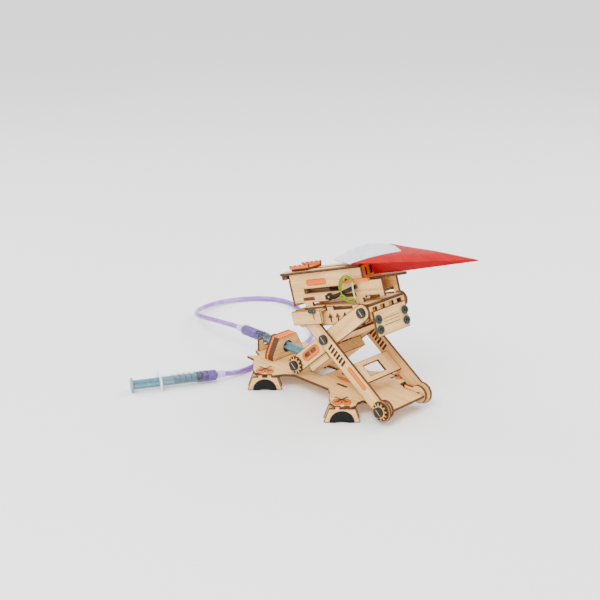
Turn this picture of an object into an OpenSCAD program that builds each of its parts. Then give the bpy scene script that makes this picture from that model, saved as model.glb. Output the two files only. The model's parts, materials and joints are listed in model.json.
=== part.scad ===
// Hydraulic paper-plane launcher: plywood scissor lift worked by two small syringes.
// Millimetres, +Z up. +X points along the launcher, +Y to its left side.
// The drawing frame has x = 0 midway between the two lower pivots and y = 0 on the
// machine's centre plane; every node is then moved by frame_shift, so that the origin
// is under the middle of the whole object.

/* [Boards] */
// Thickness of every plywood board
board_t = 2.5; // [2.4:0.1:2.6]
// Height of the top face of the base plate
deck_z = 18; // [17:0.5:19]

/* [Lift] */
// Height of the fixed lower pivot
pivot_z = 16.6; // [16:0.1:17]
// Half the distance between the two lower pivots
pivot_x = 63.3; // [62:0.1:65]
// Fixed pivot to crossing bolt, along the long arm
long_low = 99.6; // [98:0.1:101]
// Crossing bolt to slide pin, along the long arm
long_high = 30; // [28:1:32]
// Lean of the long arm above the horizontal, degrees
long_lean = 34.65; // [34:0.05:35]
// Height of the sliding shaft at the foot of the short arm
shaft_z = 30.3; // [30:0.1:31]
// Pitch of the launcher platform, degrees
pitch = 18; // [17:0.5:19]

/* [Syringes] */
// Outer radius of a barrel
barrel_r = 7; // [6.8:0.1:7.2]
// Inner radius of a barrel
bore_r = 6.1; // [5.9:0.1:6.2]
// Barrel length from shoulder to finger flange
barrel_l = 64.5; // [62:0.5:67]
// Plunger length from piston face to thumb disc
plunger_l = 80; // [78:0.5:82]
// Liquid column ahead of the piston in the lifting syringe
ram_fill = 32; // [28:0.5:36]
// Liquid column ahead of the piston in the hand syringe
hand_fill = 17.5; // [15:0.5:20]
// Outer diameter of the tube
tube_d = 6; // [5:0.5:6]

/* [Hidden] */

$fn = 48;
frame_shift = [21.5, 48.8, 0];

// Wood, metal and plastic colours
birch = [0.86, 0.71, 0.52];
bronze = [0.25, 0.22, 0.19];
orange = [0.86, 0.45, 0.26];
teal = [0.36, 0.55, 0.60];
purple = [0.42, 0.27, 0.66];
clear_plastic = [0.85, 0.88, 0.90];
rubber = [0.08, 0.08, 0.09];
elastic_green = [0.53, 0.66, 0.20];

// Pins and the holes that turn on them
pin_r = 2;
hole_r = 2.05;
arm_r = 9;
foot_end_r = 12;

// Distance of each layer's inner face from the centre plane
bracket_y = 25.5;
short_y = 28.6;
long_y = 31.7;
gear_gap = 0.3;
head_r = 5.5;
head_t = 3;

// Lower pivots, crossing, and the two upper ends of the arms, in the X-Z plane
fixed_pivot = [pivot_x, pivot_z];
slide_pivot = [-pivot_x, shaft_z];
long_dir = [-cos(long_lean), sin(long_lean)];
crossing = fixed_pivot + long_low * long_dir;
slide_end = crossing + long_high * long_dir;
platform_pivot = [31.4, 116];
short_span = platform_pivot - slide_pivot;
short_l = norm(short_span);
short_lean = atan2(short_span[1], short_span[0]);

// Platform frame: u along the runway, w square to it, origin at the platform pivot
deck_w = 5;
deck_half = 26;
deck_front = 8;
deck_rear = -104;
side_low = -11.4;
floor_w = 15;
box_half = 12.5;
box_rear = -117.5;
box_low = 12;
box_top = 44.8;
mouth_u = -7;
box_front = 19;
runway_w = 30.5;
slide_pin_w = -1.5;
slot_half = 3;

// Feet, turned in line with the lobes of the base plate
foot_x = [24.6, -92.2];
foot_y = 52.1;
foot_w = 38.4;
foot_h = deck_z - board_t;
foot_turn = 45;

// Syringe places
ram_front = -183;
hand_at = [-143.5, -78, 8];
hand_dir = -117.5;
nozzle_l = 6;

// Middle line of the tube, from the lifting syringe's nozzle to the hand syringe's
tube_route = [
    [-189, 0, 30.3], [-202, 0, 30.2], [-218, 0, 29], [-241, 3, 26], [-266, 9, 21],
    [-288, 17, 16.5], [-303, 28, 13], [-314, 43, 10], [-323, 66, 7], [-327, 90, 4.5],
    [-323, 112, 3.2], [-313, 129, 3], [-300, 143, 3], [-283, 153, 3], [-262, 155, 3],
    [-238, 147, 3], [-213, 132, 3], [-190, 116, 3], [-170, 102, 3], [-157, 88, 3],
    [-149, 72, 3], [-145, 50, 3], [-143, 25, 3], [-142, 0, 3], [-141, -20, 3],
    [-139, -36, 3.2], [-138, -48, 4.2], [-137.5, -58, 5.8], [-138.5, -66, 7.3],
    [-140.7, -72.7, 8]];

// ---- helpers ----

module in_frame() translate(frame_shift) children();

// A board parallel to the X-Z plane, inner face at distance y from the centre plane
module layer(y, t = board_t)
    translate([0, y + t, 0]) rotate([90, 0, 0]) linear_extrude(t) children();

module right_side() mirror([0, 1, 0]) children();
module both_sides() { children(); right_side() children(); }

module on_platform()
    translate([platform_pivot[0], 0, platform_pivot[1]]) rotate([0, -pitch, 0]) children();

// A board square to X, standing at x, drawn in Y-Z
module cross_board(x, t = board_t)
    translate([x, 0, 0]) rotate([90, 0, 90]) linear_extrude(t) children();

// A round pin across the machine from y0 to y1 at point p of the X-Z plane
module pin(p, y0, y1, r = pin_r)
    translate([p[0], y1, p[1]]) rotate([90, 0, 0]) cylinder(r = r, h = y1 - y0);

module slotted_head(p, y)
    difference() {
        pin(p, y, y + head_t, head_r);
        translate([p[0], y + head_t, p[1]]) rotate([0, 40, 0]) cube([8, 1.6, 1.4], center = true);
    }

module stadium(len, r) {
    circle(r);
    translate([len, 0]) circle(r);
    translate([0, -r]) square([len, 2 * r]);
}

module slot(x0, x1, r) translate([x0 + r, 0]) stadium(x1 - x0 - 2 * r, r);

// Ring of teeth cut around a washer
module gear_washer(p, y, r, teeth)
    translate([p[0], y + board_t, p[1]]) rotate([90, 0, 0]) linear_extrude(board_t)
        difference() {
            circle(r);
            circle(hole_r + 0.5);
            for (i = [0 : teeth - 1])
                rotate(i * 360 / teeth) translate([r - 2.4, -1]) square([4, 2]);
        }

// ---- base ----

function base_half() = [
    [-147, 0], [-147, 15], [-133, 22], [-142, 33], [-130, 34], [-120, 44], [-109, 55],
    [-100, 60], [-91, 57], [-86, 52], [-79.6, 51], [-75, 41], [-66, 33], [-13, 33.5],
    [-5, 40], [4.5, 51], [14, 58.7], [24, 61], [30.4, 56], [37, 51.5], [37.4, 44],
    [33.5, 37.5], [34, 30], [41, 28], [43.8, 25.3], [72, 25.3], [72, 0]];

module base_outline() {
    polygon(base_half());
    mirror([0, 1]) polygon(base_half());
}

module foot_place(x, y)
    translate([x, y, 0]) rotate([0, 0, y < 0 ? foot_turn : -foot_turn]) children();

module foot_slots()
    for (x = foot_x, y = [-foot_y, foot_y], s = [-5.75, 5.75], d = [-5, 5])
        foot_place(x, y) translate([d, s, deck_z - 1]) cube([5.2, board_t + 0.1, 8], center = true);

module base_plate() color(birch) in_frame() difference() {
    union() {
        translate([0, 0, foot_h]) linear_extrude(board_t) base_outline();
        for (s = [-1, 1])
            translate([50, s * (25.3 + 1.3), foot_h + board_t / 2]) cube([5, 2.8, board_t], center = true);
    }
    translate([-60, -13, 0]) cube([19, 26, 40]);
    foot_slots();
    for (s = [-15, 15]) translate([-115.1, s, deck_z]) cube([12.6, 8.2, 8], center = true);
    translate([cradle_x + board_t / 2, 0, deck_z]) cube([2.6, 10.2, 8], center = true);
    for (s = [-1, 1]) translate([-8, s * 17, deck_z]) cube([14, 2.6, 8], center = true);
}

module arch_2d() difference() {
    polygon([[-foot_w / 2, 0.4], [foot_w / 2, 0.4], [foot_w / 2 - 5.5, foot_h],
        [-foot_w / 2 + 5.5, foot_h]]);
    circle(12.8);
}

module foot(x, y) color(birch) in_frame() foot_place(x, y)
    for (s = [-5.75, 5.75]) {
        translate([0, s + board_t / 2, 0]) rotate([90, 0, 0]) linear_extrude(board_t) arch_2d();
        for (d = [-5, 5]) translate([d, s, foot_h + 1.4]) cube([5, board_t, 2.8], center = true);
    }

module foot_front_left() foot(foot_x[0], foot_y);
module foot_front_right() foot(foot_x[0], -foot_y);
module foot_rear_left() foot(foot_x[1], foot_y);
module foot_rear_right() foot(foot_x[1], -foot_y);

pad_r = 12.7;
pad_l = 15;
module foot_pads() color(rubber) in_frame()
    for (x = foot_x, y = [-foot_y, foot_y]) foot_place(x, y)
        translate([0, pad_l / 2, 0]) rotate([90, 0, 0]) linear_extrude(pad_l)
            difference() {
                circle(pad_r);
                translate([-20, -40]) square([40, 40]);
                translate([0, -17.2]) circle(18.7);
            }

clamp_x = -121.3;
module clamp_2d(hole) difference() {
    polygon([[-24, deck_z], [24, deck_z], [24, 24], [14, 43.5], [-14, 43.5], [-24, 24]]);
    translate([0, shaft_z]) circle(hole);
}

module clamp_boards() color(birch) in_frame() {
    cross_board(clamp_x) clamp_2d(barrel_r + 0.2);
    for (i = [2 : 4]) cross_board(clamp_x + i * board_t) clamp_2d(6.6);
    for (s = [-15, 15])
        translate([-115.1, s, foot_h + 1.35]) cube([12.4, 8, 2.3], center = true);
}

module clamp_middle() color(orange) in_frame() difference() {
    cross_board(clamp_x + board_t) difference() {
        clamp_2d(barrel_r);
        translate([-14, shaft_z - 8.2]) square([28, 16.4]);
    }
}

cradle_x = -144.5;
module barrel_cradle() color(birch) in_frame() {
    cross_board(cradle_x) difference() {
        polygon([[-14, deck_z], [14, deck_z], [14, 32], [-14, 32]]);
        translate([0, shaft_z]) circle(barrel_r + 0.1);
        translate([-7.1, shaft_z]) square([14.2, 10]);
    }
    translate([cradle_x + board_t / 2, 0, foot_h + 1.35]) cube([2.4, 10, 2.3], center = true);
}

// Barrel along +X from its shoulder at x = 0, nozzle towards -X
module barrel() difference() {
    union() {
        rotate([0, 90, 0]) cylinder(r = barrel_r, h = barrel_l);
        translate([-nozzle_l, 0, 0]) rotate([0, 90, 0]) cylinder(r = 2.1, h = nozzle_l);
        translate([barrel_l, 0, 0]) rotate([90, 0, 90]) linear_extrude(2)
            intersection() { square([27, 16], center = true); circle(13.5); }
    }
    translate([1.2, 0, 0]) rotate([0, 90, 0]) cylinder(r = bore_r, h = barrel_l + 5);
    translate([-nozzle_l - 1, 0, 0]) rotate([0, 90, 0]) cylinder(r = 1, h = nozzle_l + 4);
}

// Liquid column of length fill, from the end wall to the piston
module column(fill)
    translate([1.2, 0, 0]) rotate([0, 90, 0]) cylinder(r = bore_r - 0.1, h = fill - 1.2);

module piston(fill)
    translate([fill, 0, 0]) rotate([0, 90, 0]) difference() {
        cylinder(r = bore_r - 0.05, h = 6);
        translate([0, 0, 2.2]) rotate_extrude() translate([5.4, 0]) square([2, 1.6]);
    }

// Cross-ribbed rod from the piston to the thumb disc
module plunger(fill) {
    rod_l = plunger_l - 6 - 1.8;
    translate([fill + 6, 0, 0]) {
        rotate([0, 90, 0]) cylinder(r = 5.6, h = 1.6);
        translate([1.6, -5.3, -0.8]) cube([rod_l - 1.6, 10.6, 1.6]);
        translate([1.6, -0.8, -5.3]) cube([rod_l - 1.6, 1.6, 10.6]);
        translate([rod_l, 0, 0]) rotate([0, 90, 0]) cylinder(r = 8, h = 1.8);
    }
}

module at_ram() in_frame() translate([ram_front, 0, shaft_z]) children();
module at_hand() in_frame() translate(hand_at) rotate([0, 0, hand_dir]) children();

module ram_barrel() color(clear_plastic) at_ram() barrel();
module ram_fluid() color(purple) at_ram() column(ram_fill);
module ram_piston() color(rubber) at_ram() piston(ram_fill);
module ram_plunger() color(teal) at_ram() plunger(ram_fill);
module hand_barrel() color(clear_plastic) at_hand() barrel();
module hand_fluid() color(purple) at_hand() column(hand_fill);
module hand_piston() color(rubber) at_hand() piston(hand_fill);
module hand_plunger() color(teal) at_hand() plunger(hand_fill);

// ---- tube: rings of points swept along the route ----

tube_sides = 10;
ring_steps = 2;
function unit(v) = v / norm(v);
function route_at(i) = tube_route[max(0, min(len(tube_route) - 1, i))];
// Point of the smooth curve through the route, t counted in route points
function curve(t) =
    let (i = min(floor(t), len(tube_route) - 2), f = t - i,
        a = route_at(i - 1), b = route_at(i), c = route_at(i + 1), d = route_at(i + 2))
    0.5 * (2 * b + (c - a) * f + (2 * a - 5 * b + 4 * c - d) * f * f
        + (3 * b - a - 3 * c + d) * f * f * f);
ring_count = (len(tube_route) - 1) * ring_steps;
function ring_t(k) = k / ring_steps;
function ring_dir(k) =
    k == 0 ? [-1, 0, 0]
    : k == ring_count ? [cos(hand_dir), sin(hand_dir), 0]
    : unit(curve(ring_t(k) + 0.05) - curve(ring_t(k) - 0.05));
function ring_point(k, s) =
    let (d = ring_dir(k), side = unit(cross([0, 0, 1], d)), up = cross(d, side),
        a = 360 * s / tube_sides)
    curve(ring_t(k)) + tube_d / 2 * (cos(a) * side + sin(a) * up);

module fluid_tube() color(purple) in_frame() polyhedron(
    points = [for (k = [0 : ring_count], s = [0 : tube_sides - 1]) ring_point(k, s)],
    faces = concat(
        [[for (s = [tube_sides - 1 : -1 : 0]) s]],
        [[for (s = [0 : tube_sides - 1]) ring_count * tube_sides + s]],
        [for (k = [0 : ring_count - 1], s = [0 : tube_sides - 1])
            let (n = (s + 1) % tube_sides, a = k * tube_sides)
            [a + s, a + n, a + n + tube_sides]],
        [for (k = [0 : ring_count - 1], s = [0 : tube_sides - 1])
            let (n = (s + 1) % tube_sides, a = k * tube_sides)
            [a + s, a + n + tube_sides, a + s + tube_sides]]));

// ---- fixed pivots ----

module pivot_bracket() color(birch) layer(bracket_y) difference() {
    union() {
        translate(fixed_pivot) circle(10);
        translate([44, 10]) square([19, 12.5]);
    }
    translate(fixed_pivot) circle(hole_r);
    translate([50, foot_h + board_t / 2]) square([5.2, board_t + 0.2], center = true);
}
module pivot_bracket_left() in_frame() pivot_bracket();
module pivot_bracket_right() in_frame() right_side() pivot_bracket();

bolt_out = long_y + 2 * board_t + 2 * gear_gap;
module base_bolts() color(bronze) in_frame() both_sides() {
    pin(fixed_pivot, bracket_y, bolt_out);
    pin(fixed_pivot, bracket_y + board_t + 0.1, long_y - 0.1, 3.6);
    slotted_head(fixed_pivot, bolt_out);
}

// ---- long arms ----

module long_place() translate(fixed_pivot) rotate(180 - long_lean) children();

module long_arm() color(birch) layer(long_y) difference() {
    long_place() difference() {
        union() {
            stadium(long_low + long_high, arm_r);
            circle(foot_end_r);
        }
        circle(hole_r);
        translate([long_low, 0]) circle(hole_r);
        translate([long_low + long_high, 0]) circle(hole_r);
        for (i = [0 : 5]) translate([65.6 + 4.6 * i, 0]) square([1.7, 8], center = true);
    }
}
module long_arm_left() in_frame() long_arm();
module long_arm_right() in_frame() right_side() long_arm();

module in_long_arm() translate([pivot_x, 0, pivot_z]) rotate([0, long_lean - 180, 0]) children();

module window_board() color(birch) in_frame() in_long_arm()
    translate([35, -long_y, 2 - board_t / 2]) difference() {
        cube([26, 2 * long_y, board_t]);
        translate([6, long_y - 12, -1]) cube([14, 24, 10]);
    }

module slide_pins() color(bronze) in_frame() both_sides() {
    pin(slide_end, bracket_y - 0.9, long_y + board_t + 0.1);
    pin(slide_end, bracket_y + board_t + 0.4, long_y - 0.05, 3.4);
}

module base_gears() color(birch) in_frame() both_sides()
    gear_washer(fixed_pivot, long_y + board_t + gear_gap, 9.8, 12);

cross_head_y = long_y + board_t + gear_gap;
module cross_bolts() color(bronze) in_frame() both_sides() {
    pin(crossing, short_y - 0.4, cross_head_y);
    slotted_head(crossing, cross_head_y);
}

// ---- short arms ----

module short_arm() color(birch) layer(short_y) difference() {
    translate(slide_pivot) rotate(short_lean) difference() {
        stadium(short_l, arm_r);
        circle(2.55);
        translate([short_l, 0]) circle(hole_r);
        for (x = [23.5, 35.5]) slot_hole(x);
    }
    translate(crossing) circle(hole_r);
}
module slot_hole(x) translate([x, 1.2]) square([9.5, 4.4], center = true);
module short_arm_left() in_frame() short_arm();
module short_arm_right() in_frame() right_side() short_arm();

// Frame of the short arm: x along it from the sliding shaft
module in_short_arm() translate([-pivot_x, 0, shaft_z]) rotate([0, -short_lean, 0]) children();

module short_arm_web() color(birch) in_frame() in_short_arm()
    translate([short_l - 54, -short_y, -9]) cube([25, 2 * short_y, board_t]);

module cross_box() color(birch) in_frame() in_short_arm() {
    for (s = [0, 1]) mirror([0, s, 0])
        translate([14, short_y - board_t, -17]) cube([35, board_t, 12]);
    translate([14, board_t - short_y, -17]) cube([35, 2 * (short_y - board_t), board_t]);
    translate([14, board_t - short_y, -14.5]) cube([board_t, 2 * (short_y - board_t), 20.5]);
    translate([49 - board_t, board_t - short_y, -14.5]) cube([board_t, 2 * (short_y - board_t), 9.5]);
}

shaft_r = 2.5;
shaft_out = short_y + 2 * board_t + 2 * gear_gap;
module slide_shaft() color(bronze) in_frame() {
    pin(slide_pivot, -shaft_out, shaft_out, shaft_r);
    both_sides() slotted_head(slide_pivot, shaft_out);
}
module shaft_gears() color(birch) in_frame() both_sides()
    gear_washer(slide_pivot, short_y + board_t + gear_gap, 9.9, 12);
roller_r = 5.5;
module push_roller() color(birch) in_frame() difference() {
    pin(slide_pivot, -9, 9, roller_r);
    pin(slide_pivot, -10, 10, shaft_r + 0.05);
}

// ---- launcher platform ----

module deck_plate() color(birch) in_frame() on_platform() translate([0, 0, deck_w])
    difference() {
        translate([deck_rear, -deck_half, 0]) cube([deck_front - deck_rear, 2 * deck_half, board_t]);
        for (s = [-1, 1]) {
            for (u = [-92, -48, -10])
                translate([u, s * (bracket_y + board_t / 2), 0]) cube([10.2, board_t + 0.1, 9], center = true);
            for (u = [-95, -18])
                translate([u, s * (box_half - board_t / 2), 0]) cube([12.2, board_t + 0.1, 9], center = true);
            translate([-40, s * deck_half, 0]) cube([14, 5, 9], center = true);
        }
    }

module side_plate() color(birch) on_platform() layer(bracket_y) difference() {
    union() {
        polygon([[-103, side_low + 3], [-98, side_low], [2, side_low], [5, side_low + 3],
            [5, deck_w], [-103, deck_w]]);
        for (u = [-92, -48, -10]) translate([u - 5, deck_w - 0.1]) square([10, 4.1]);
    }
    circle(hole_r);
    translate([0, slide_pin_w]) slot(-96, -68, slot_half);
    for (i = [0 : 3]) translate([-50 + 11 * i, -3.5]) arrow_2d();
}
// Small upright arrow cut through the board
module arrow_2d() {
    translate([-0.7, -4]) square([1.4, 7]);
    polygon([[-2.9, 0.6], [0, 4.6], [2.9, 0.6]]);
}
module side_plate_left() in_frame() side_plate();
module side_plate_right() in_frame() right_side() side_plate();

module end_board() color(birch) in_frame() on_platform() cross_board(5) difference() {
    translate([-28, -9]) square([56, deck_w + 9]);
    for (y = [-19, -7, 7, 19]) translate([y, 0.5]) square([6, 4.4], center = true);
}

name_top = -1.2;
name_h = 27.4;
module name_board() color(birch) in_frame() on_platform() cross_board(7.6) difference() {
    translate([-25, name_top - name_h]) square([50, name_h]);
    for (s = [-1, 1], w = [-9, -20]) translate([s * 20.5, name_top + w]) circle(1.6);
}

// Rubber rings that lash the name board to the end board
module board_rings() color([0.30, 0.38, 0.34]) in_frame() on_platform()
    for (s = [-1, 1], w = [-9, -20])
        translate([10.1 + 1.4, s * 20.5, name_top + w]) rotate([0, 90, 0]) rotate_extrude()
            translate([3.3, 0]) circle(1.4, $fn = 16);

// Front and top board of the housing over each slide pin
module slide_cover() color(birch) on_platform() {
    layer(35.6) translate([-98, -7]) square([44, 12.5]);
    translate([-98, bracket_y + 3.2, 5.5]) difference() {
        cube([44, 35.6 + board_t - bracket_y - 3.2, board_t]);
        translate([0.5, long_y - bracket_y - 3.7, -1]) cube([31.5, 3.5, 9]);
    }
    translate([-85, 24, deck_w + board_t]) cube([28, 6, 2.5]);
}
module slide_cover_left() in_frame() slide_cover();
module slide_cover_right() in_frame() right_side() slide_cover();

module platform_bolts() color(bronze) in_frame() both_sides() {
    pin(platform_pivot, bracket_y, short_y + board_t + gear_gap);
    slotted_head(platform_pivot, short_y + board_t + gear_gap);
}

module launcher_side() color(birch) on_platform() layer(box_half - board_t) difference() {
    union() {
        polygon([[box_rear, box_low], [box_front, box_low], [box_front, runway_w],
            [mouth_u, runway_w], [mouth_u, box_top], [box_rear, box_top]]);
        for (u = [-95, -18]) translate([u - 6, deck_w]) square([12, box_low - deck_w + 0.1]);
    }
    translate([-98, 22.6]) square([54, 4.6]);
    for (u = [-93.5, -30]) translate([u, floor_w + board_t / 2]) square([17.2, board_t + 0.1], center = true);
    translate([2, box_low]) square([20, 4], center = true);
}
module launcher_side_left() in_frame() launcher_side();
module launcher_side_right() in_frame() right_side() launcher_side();

module launcher_floor() color(birch) in_frame() on_platform() translate([0, 0, floor_w]) {
    translate([box_rear, -(box_half - board_t), 0]) cube([130, 2 * (box_half - board_t), board_t]);
    for (s = [-1, 1], u = [-93.5, -30])
        translate([u, s * (box_half - board_t / 2 + 0.1), board_t / 2]) cube([17, board_t + 0.2, board_t], center = true);
}

lid_half = 15;
module launcher_lid() color(birch) in_frame() on_platform() translate([0, 0, box_top])
    linear_extrude(board_t) difference() {
        polygon([[-129, -lid_half], [mouth_u, -lid_half], [mouth_u, lid_half], [-129, lid_half],
            [-133, 8], [-133, -8]]);
        slot(-116, -44, 2.2);
    }

// Stack of short boards under the lid's rear overhang
module lid_rear_block() color(birch) in_frame() on_platform()
    translate([-129, -13, box_top - 2 * board_t + 0.1]) cube([8.9, 26, 2 * board_t - 0.1]);

module launcher_back() color(birch) in_frame() on_platform() cross_board(box_rear - board_t)
    polygon([[-box_half, 9], [box_half, 9], [box_half, 38], [box_half - 2, 40],
        [box_half - 2, box_top], [2 - box_half, box_top], [2 - box_half, 40], [-box_half, 38]]);

runway_half = 15;
module runway() color(birch) in_frame() on_platform() translate([0, 0, runway_w])
    linear_extrude(board_t) difference() {
        union() {
            polygon([[mouth_u, -box_half], [mouth_u, box_half], [40, 3.5], [44, 0], [40, -3.5]]);
            for (s = [-1, 1]) translate([-36, s > 0 ? box_half + 0.1 : -runway_half - 1])
                square([32, runway_half + 0.9 - box_half]);
            for (s = [-1, 1]) translate([mouth_u, s > 0 ? box_half : -runway_half - 1])
                square([10, runway_half + 1 - box_half]);
        }
    }

module front_frame() color(orange) in_frame() on_platform() cross_board(mouth_u + 0.1)
    difference() {
        translate([-box_half, runway_w + board_t]) square([2 * box_half, box_top + 1.2 - runway_w - board_t]);
        translate([-2, runway_w + board_t + 2.5]) square([4, 30]);
        for (s = [-1, 1]) translate([s * 7.5, 39.3]) square([2.2, 8], center = true);
    }

// Peg on each launcher side that the elastic band hooks over, and the lever's pin
band_peg = [-26.5, 34.5];
module elastic_post() color(birch) in_frame() on_platform() {
    both_sides() pin(band_peg, box_half, box_half + 8, 1.5);
    right_side() pin(trigger_pivot, box_half, box_half + 6.5, 1.5);
}

// Band from the peg down to the deck, around the lever, on the right side
module elastic_band() color(elastic_green) in_frame() on_platform()
    right_side() layer(box_half + 6, 1.2) translate(band_peg) rotate(-90) difference() {
        stadium(24, 2.8);
        stadium(24, 1.6);
    }

shuttle_rear = -112;
shuttle_front = -62;
module shuttle_block() color(birch) in_frame() on_platform() {
    translate([shuttle_rear, -9.3, floor_w + board_t + 0.4])
        cube([shuttle_front - shuttle_rear, 18.6, box_top - floor_w - board_t - 0.9]);
    translate([shuttle_rear, -1.7, box_top - 0.5]) cube([22, 3.4, board_t + 1]);
    translate([0, 0, 0]) pin([-94, 24.9], -14, 14, 1.8);
}

// Cross plate over the lid with two scalloped finger grips
module shuttle_grips() color(orange) in_frame() on_platform() {
    translate([-113, -11, box_top + board_t + 0.5]) cube([26, 22, board_t]);
    for (s = [-9.5, 9.5]) translate([0, s + board_t / 2, box_top + 2 * board_t + 0.5])
        rotate([90, 0, 0]) linear_extrude(board_t) difference() {
            translate([-116, 0]) square([30, 4]);
            for (i = [0 : 3]) translate([-112.2 + 7.5 * i, 5.4]) circle(2.8);
        }
}

trigger_pivot = [-56, 17.5];
module trigger_lever() color([0.25, 0.17, 0.13]) in_frame() on_platform() right_side() difference() {
    layer(box_half + 3.2) difference() {
        union() {
            translate([-62, 14.5]) square([14, 5]);
            translate([-49, 14.6]) rotate(14) square([37, 4.4]);
            translate(trigger_pivot) circle(4);
        }
        translate(trigger_pivot) circle(1.55);
    }
}

// ---- paper plane, folded thin sheet, resting on the runway ----

keel_t = 1;
nose = [139, 35.6];
module paper_plane() color([0.80, 0.08, 0.10]) in_frame() on_platform() {
    translate([0, keel_t / 2, 0]) rotate([90, 0, 0]) linear_extrude(keel_t)
        polygon([[-3.5, 33.6], nose, [-3.5, 49]]);
    wing(1);
    wing(-1);
}
module wing(s) {
    root_rise = atan2(49 - nose[1], nose[0] + 3.5);
    translate([nose[0], 0, nose[1]]) rotate([0, root_rise, 0]) rotate([s * 8, 0, 0])
        linear_extrude(0.8)
            polygon([[0, s * 0.1], [-143, s * 0.1], [-172, s * 0.1], [-176, s * 9],
                [-164, s * 16], [-155, s * 24], [-143, s * 30]]);
}

base_plate();
foot_front_left();
foot_front_right();
foot_rear_left();
foot_rear_right();
foot_pads();
clamp_boards();
clamp_middle();
barrel_cradle();
ram_barrel();
ram_fluid();
hand_barrel();
hand_fluid();
fluid_tube();
pivot_bracket_left();
pivot_bracket_right();
base_bolts();
long_arm_left();
long_arm_right();
window_board();
slide_pins();
base_gears();
cross_bolts();
short_arm_left();
short_arm_right();
short_arm_web();
cross_box();
slide_shaft();
shaft_gears();
push_roller();
deck_plate();
side_plate_left();
side_plate_right();
end_board();
name_board();
board_rings();
slide_cover_left();
slide_cover_right();
platform_bolts();
launcher_side_left();
launcher_side_right();
launcher_lid();
lid_rear_block();
launcher_back();
launcher_floor();
runway();
front_frame();
elastic_post();
elastic_band();
shuttle_block();
shuttle_grips();
trigger_lever();
paper_plane();
ram_plunger();
ram_piston();
hand_plunger();
hand_piston();
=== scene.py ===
"""Looks of the plywood paper-plane launcher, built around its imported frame."""
import json
import math
import bmesh
import bpy
from mathutils import Euler, Matrix, Vector


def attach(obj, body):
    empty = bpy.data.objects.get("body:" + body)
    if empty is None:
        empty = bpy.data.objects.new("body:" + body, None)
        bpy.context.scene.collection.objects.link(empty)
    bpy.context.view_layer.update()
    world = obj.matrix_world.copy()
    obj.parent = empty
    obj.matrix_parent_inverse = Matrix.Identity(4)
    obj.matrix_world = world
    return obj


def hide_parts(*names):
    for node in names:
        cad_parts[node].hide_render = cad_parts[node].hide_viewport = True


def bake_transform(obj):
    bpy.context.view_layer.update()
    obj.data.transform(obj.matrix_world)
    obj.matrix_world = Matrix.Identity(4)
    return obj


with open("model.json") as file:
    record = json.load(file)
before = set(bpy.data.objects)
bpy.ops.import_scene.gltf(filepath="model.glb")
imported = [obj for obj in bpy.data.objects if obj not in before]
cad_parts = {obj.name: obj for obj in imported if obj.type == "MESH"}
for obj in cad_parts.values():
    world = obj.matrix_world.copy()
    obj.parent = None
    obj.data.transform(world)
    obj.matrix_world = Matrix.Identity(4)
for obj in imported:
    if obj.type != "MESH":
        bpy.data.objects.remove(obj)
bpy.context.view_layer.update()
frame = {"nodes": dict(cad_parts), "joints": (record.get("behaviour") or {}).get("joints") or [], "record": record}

MM = 0.001
BOARD = 2.5 * MM
JOINTS = {joint["name"]: joint for joint in frame["joints"]}

# ---- places: the drawing frame, the tilted platform and the two syringes ----

PITCH = 18
LONG_LEAN = 34.65
SHORT_LEAN = 42.14
FOOT_TURN = 45

# Height of the base's top face, and distances of board faces from the middle plane
DECK_TOP = 18
LAUNCHER_FACE = 12.5
LONG_FACE = 34.2
SHORT_FACE = 31.1
BOLT_FACES = {"base": 40.3, "long_arms": 37.5, "short_arms": 37.2, "platform": 34.4}
HEAD_SLOT_DEPTH = 0.68
# Depth below an arm's outer face, or a side plate's, of the dark films in its slots: painted shade over the singed
# brown of the cut walls
LONG_FILM = 1.3
SHORT_FILM = 0.7
SIDE_FILM_Y = 27.3
NAME_FACE = 10.1
LADDER_START = 65.6
LADDER_STEP = 4.6
LADDER_RUNGS = 6
PANE_MIDDLES = (23.5, 35.5)
PANE_RISE = 1.2
SLIDE_PIVOT = (-63.3, 0, 30.3)
PIVOT = Vector(JOINTS["platform_tilt"]["pos_m"])
LOW_PIVOT = Vector(JOINTS["arm_lift"]["pos_m"])
CROSSING = Vector(JOINTS["cross_pivot"]["pos_m"])
DRAWN = Matrix.Translation(PIVOT - Vector((31.4, 0, 116)) * MM) @ Matrix.Scale(MM, 4)
PLATFORM = (Matrix.Translation(PIVOT) @ Matrix.Rotation(math.radians(-PITCH), 4, "Y")
            @ Matrix.Scale(MM, 4))
RAM = DRAWN @ Matrix.Translation((-183, 0, 30.3))
HAND = (DRAWN @ Matrix.Translation((-143.5, -78, 8))
        @ Matrix.Rotation(math.radians(-117.5), 4, "Z"))
LONG_ARM = (Matrix.Translation(LOW_PIVOT)
            @ Matrix.Rotation(math.radians(LONG_LEAN - 180), 4, "Y") @ Matrix.Scale(MM, 4))
SHORT_ARM = (DRAWN @ Matrix.Translation(SLIDE_PIVOT)
             @ Matrix.Rotation(math.radians(-SHORT_LEAN), 4, "Y"))


# ---- camera, floor and light ----

def add_camera():
    data = bpy.data.cameras.new("camera")
    data.lens = 71
    data.sensor_width = 36
    camera = bpy.data.objects.new("camera", data)
    bpy.context.scene.collection.objects.link(camera)
    camera.location = DRAWN @ Vector((787.4, -880.5, 541.0))
    target = DRAWN @ Vector((-89.07, 0, 91.29))
    camera.rotation_euler = (target - camera.location).to_track_quat("-Z", "Y").to_euler()
    bpy.context.scene.camera = camera


def add_area_light(name, place, size, power):
    data = bpy.data.lights.new(name, "AREA")
    data.shape = "DISK"
    data.size = size
    data.energy = power
    light = bpy.data.objects.new(name, data)
    bpy.context.scene.collection.objects.link(light)
    light.location = place
    light.rotation_euler = (Vector((0, 0, 0.06)) - Vector(place)).to_track_quat("-Z", "Y").to_euler()


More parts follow.
